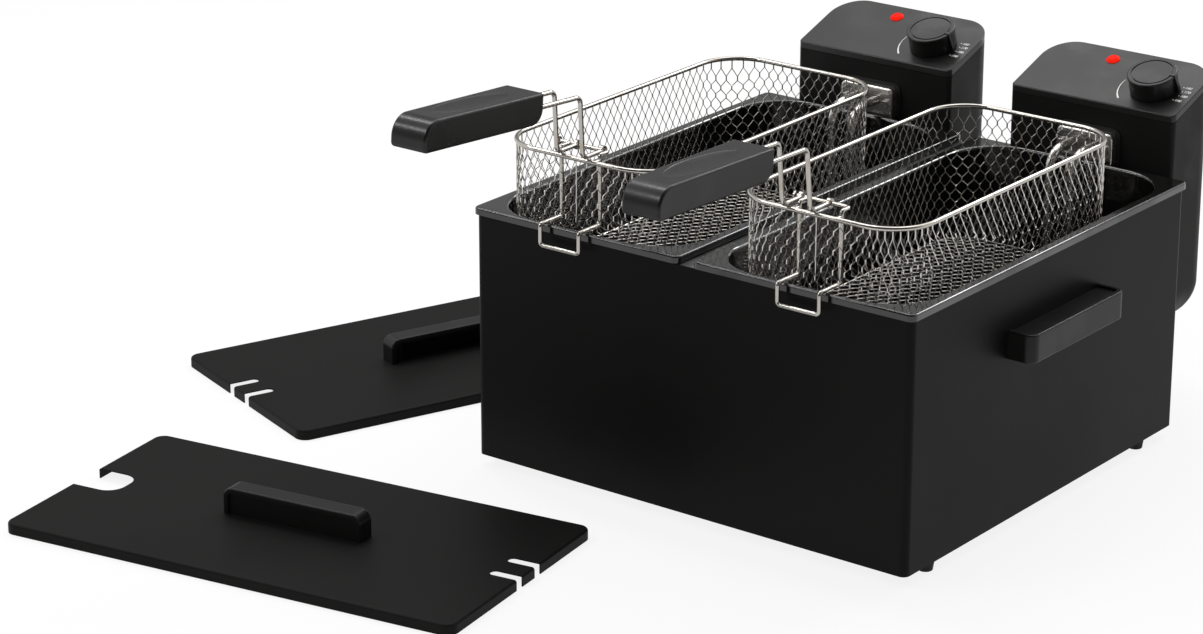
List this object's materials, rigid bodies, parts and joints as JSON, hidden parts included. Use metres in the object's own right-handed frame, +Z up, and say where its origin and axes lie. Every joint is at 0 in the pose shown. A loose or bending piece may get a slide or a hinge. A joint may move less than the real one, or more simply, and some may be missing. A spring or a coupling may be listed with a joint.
{
  "type": "deep fryer",
  "caption": "Countertop double deep fryer: cabinet with drawn oil pans, lift-out control units with heaters, hooked mesh baskets with folding handles, and loose lids.",
  "frame": {"origin": "on the table, under the middle of the cabinet", "axes": "+X to the right along the front, +Y to the rear, +Z up"},
  "size_m": [0.8036, 0.8532, 0.3656],
  "materials": {
    "cabinet_paint": "satin black paint",
    "base_steel": "plain dark sheet",
    "foot_rubber": "matte rubber",
    "screw_steel": "zinc-plated steel",
    "handle_plastic": "satin moulded plastic",
    "pan_enamel": "gloss enamel",
    "control_plastic": "fine-grained plastic",
    "panel_plastic": "fine-grained plastic",
    "switch_plastic": "moulded plastic",
    "knob_plastic": "satin plastic",
    "lamp_lens": "red lens",
    "bracket_steel": "brushed stainless steel",
    "gasket_rubber": "matte rubber",
    "heater_steel": "stainless tube",
    "bulb_steel": "bright tube",
    "reset_plastic": "red plastic",
    "gland_rubber": "matte rubber",
    "basket_wire": "plated wire",
    "grip_plastic": "satin moulded plastic",
    "lid_paint": "satin black paint"
  },
  "bodies": {
    "cabinet": {"cabinet_shell": "cabinet_paint", "rear_panel": "cabinet_paint", "base_plate": "base_steel", "feet": "foot_rubber", "foot_screws": "screw_steel", "centre_rail": "cabinet_paint", "side_handle_screws": "screw_steel", "hanger_tabs": "base_steel", "side_handle_left": "handle_plastic", "side_handle_right": "handle_plastic"},
    "pan_left": {"oil_pan_left": "pan_enamel"},
    "control_left": {"control_housing_left": "control_plastic", "control_cover_left": "panel_plastic", "thermostat_left": "switch_plastic", "indicator_lens_left": "lamp_lens", "element_bracket_left": "bracket_steel", "bracket_gasket_left": "gasket_rubber", "bracket_screws_left": "screw_steel", "heating_element_left": "heater_steel", "thermostat_bulb_left": "bulb_steel", "thermal_cutout_left": "switch_plastic", "cord_gland_left": "gland_rubber"},
    "knob_left": {"thermostat_knob_left": "knob_plastic"},
    "reset_left": {"reset_button_left": "reset_plastic"},
    "basket_left": {"basket_mesh_left": "basket_wire", "basket_rim_left": "basket_wire", "basket_hook_left": "basket_wire"},
    "handle_left": {"handle_wire_left": "basket_wire", "grip_top_left": "grip_plastic", "grip_bottom_left": "grip_plastic"},
    "lid_left": {"lid_plate_left": "lid_paint", "lid_handle_left": "handle_plastic", "lid_handle_screws_left": "screw_steel"},
    "pan_right": {"oil_pan_right": "pan_enamel"},
    "control_right": {"control_housing_right": "control_plastic", "control_cover_right": "panel_plastic", "thermostat_right": "switch_plastic", "indicator_lens_right": "lamp_lens", "element_bracket_right": "bracket_steel", "bracket_gasket_right": "gasket_rubber", "bracket_screws_right": "screw_steel", "heating_element_right": "heater_steel", "thermostat_bulb_right": "bulb_steel", "thermal_cutout_right": "switch_plastic", "cord_gland_right": "gland_rubber"},
    "knob_right": {"thermostat_knob_right": "knob_plastic"},
    "reset_right": {"reset_button_right": "reset_plastic"},
    "basket_right": {"basket_mesh_right": "basket_wire", "basket_rim_right": "basket_wire", "basket_hook_right": "basket_wire"},
    "handle_right": {"handle_wire_right": "basket_wire", "grip_top_right": "grip_plastic", "grip_bottom_right": "grip_plastic"},
    "lid_right": {"lid_plate_right": "lid_paint", "lid_handle_right": "handle_plastic", "lid_handle_screws_right": "screw_steel"}
  },
  "joints": [
    {"name": "pan_lift_left", "type": "slide", "parent": "cabinet", "child": "pan_left", "axis": [0, 0, 1], "range_m": [0, 0.2]},
    {"name": "control_lift_left", "type": "slide", "parent": "pan_left", "child": "control_left", "axis": [0, 0, 1], "range_m": [0, 0.2]},
    {"name": "knob_turn_left", "type": "hinge", "parent": "control_left", "child": "knob_left", "pos_m": [-0.068, 0.25233, 0.28521], "axis": [0, -0.319, 0.9478], "range_deg": [-14, 230]},
    {"name": "reset_press_left", "type": "slide", "parent": "control_left", "child": "reset_left", "axis": [0, -1, 0], "range_m": [0, 0.002], "stiffness_N_per_m": 400},
    {"name": "basket_lift_left", "type": "slide", "parent": "control_left", "child": "basket_left", "axis": [0, 0, 1], "range_m": [0, 0.2]},
    {"name": "handle_fold_left", "type": "hinge", "parent": "basket_left", "child": "handle_left", "pos_m": [-0.1175, -0.1765, 0.2884], "axis": [-1, 0, 0], "range_deg": [0, 175]},
    {"name": "lid_lift_left", "type": "slide", "parent": "cabinet", "child": "lid_left", "axis": [0, 0, 1], "range_m": [0, 0.12]},
    {"name": "pan_lift_right", "type": "slide", "parent": "cabinet", "child": "pan_right", "axis": [0, 0, 1], "range_m": [0, 0.2]},
    {"name": "control_lift_right", "type": "slide", "parent": "pan_right", "child": "control_right", "axis": [0, 0, 1], "range_m": [0, 0.2]},
    {"name": "knob_turn_right", "type": "hinge", "parent": "control_right", "child": "knob_right", "pos_m": [0.154, 0.25233, 0.28521], "axis": [0, -0.319, 0.9478], "range_deg": [-25, 219]},
    {"name": "reset_press_right", "type": "slide", "parent": "control_right", "child": "reset_right", "axis": [0, -1, 0], "range_m": [0, 0.002], "stiffness_N_per_m": 400},
    {"name": "basket_lift_right", "type": "slide", "parent": "control_right", "child": "basket_right", "axis": [0, 0, 1], "range_m": [0, 0.2]},
    {"name": "handle_fold_right", "type": "hinge", "parent": "basket_right", "child": "handle_right", "pos_m": [0.1025, -0.1765, 0.2884], "axis": [-1, 0, 0], "range_deg": [0, 175]},
    {"name": "lid_lift_right", "type": "slide", "parent": "cabinet", "child": "lid_right", "axis": [0, 0, 1], "range_m": [0, 0.12]}
  ]
}
